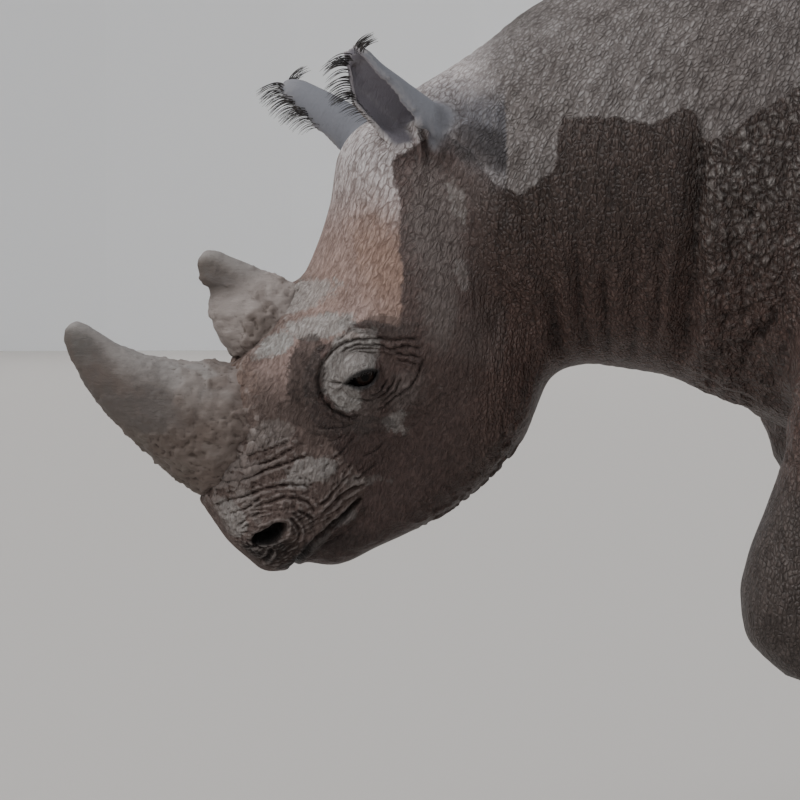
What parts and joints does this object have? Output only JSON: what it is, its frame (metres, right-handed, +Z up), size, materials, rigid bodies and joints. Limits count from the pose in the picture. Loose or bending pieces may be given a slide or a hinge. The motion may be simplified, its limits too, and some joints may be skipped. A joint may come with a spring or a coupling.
{
  "type": "black rhinoceros",
  "caption": "Still, life-size figure of a walking black rhinoceros with lowered head, two horns, tube-shaped ears and a lifted left forefoot.",
  "frame": {"origin": "bottom centre of the bounding box: floor level under the middle of the animal", "axes": "+Z up; the animal faces -X and its left side faces -Y"},
  "size_m": [2.968, 0.8634, 1.4917],
  "materials": {
    "hide": "dry wrinkled hide with pale dust",
    "hide_dark": "damp hide dark with mud",
    "horn": "rough horn smeared with dried mud",
    "nail": "worn hoof nail",
    "eye": "wet dark eyeball"
  },
  "bodies": {
    "root": {"ear_left": "hide", "ear_right": "hide", "eye_left": "eye", "eye_right": "eye", "foot_front_left": "hide_dark", "foot_front_right": "hide_dark", "foot_rear_left": "hide_dark", "foot_rear_right": "hide_dark", "head": "hide", "horn_front": "horn", "horn_rear": "horn", "leg_front_left": "hide_dark", "leg_front_right": "hide_dark", "leg_rear_left": "hide_dark", "leg_rear_right": "hide_dark", "nail_front_left_inner": "nail", "nail_front_left_middle": "nail", "nail_front_left_outer": "nail", "nail_front_right_inner": "nail", "nail_front_right_middle": "nail", "nail_front_right_outer": "nail", "nail_rear_left_inner": "nail", "nail_rear_left_middle": "nail", "nail_rear_left_outer": "nail", "nail_rear_right_inner": "nail", "nail_rear_right_middle": "nail", "nail_rear_right_outer": "nail", "neck": "hide", "tail": "hide", "trunk": "hide_dark"}
  },
  "joints": []
}
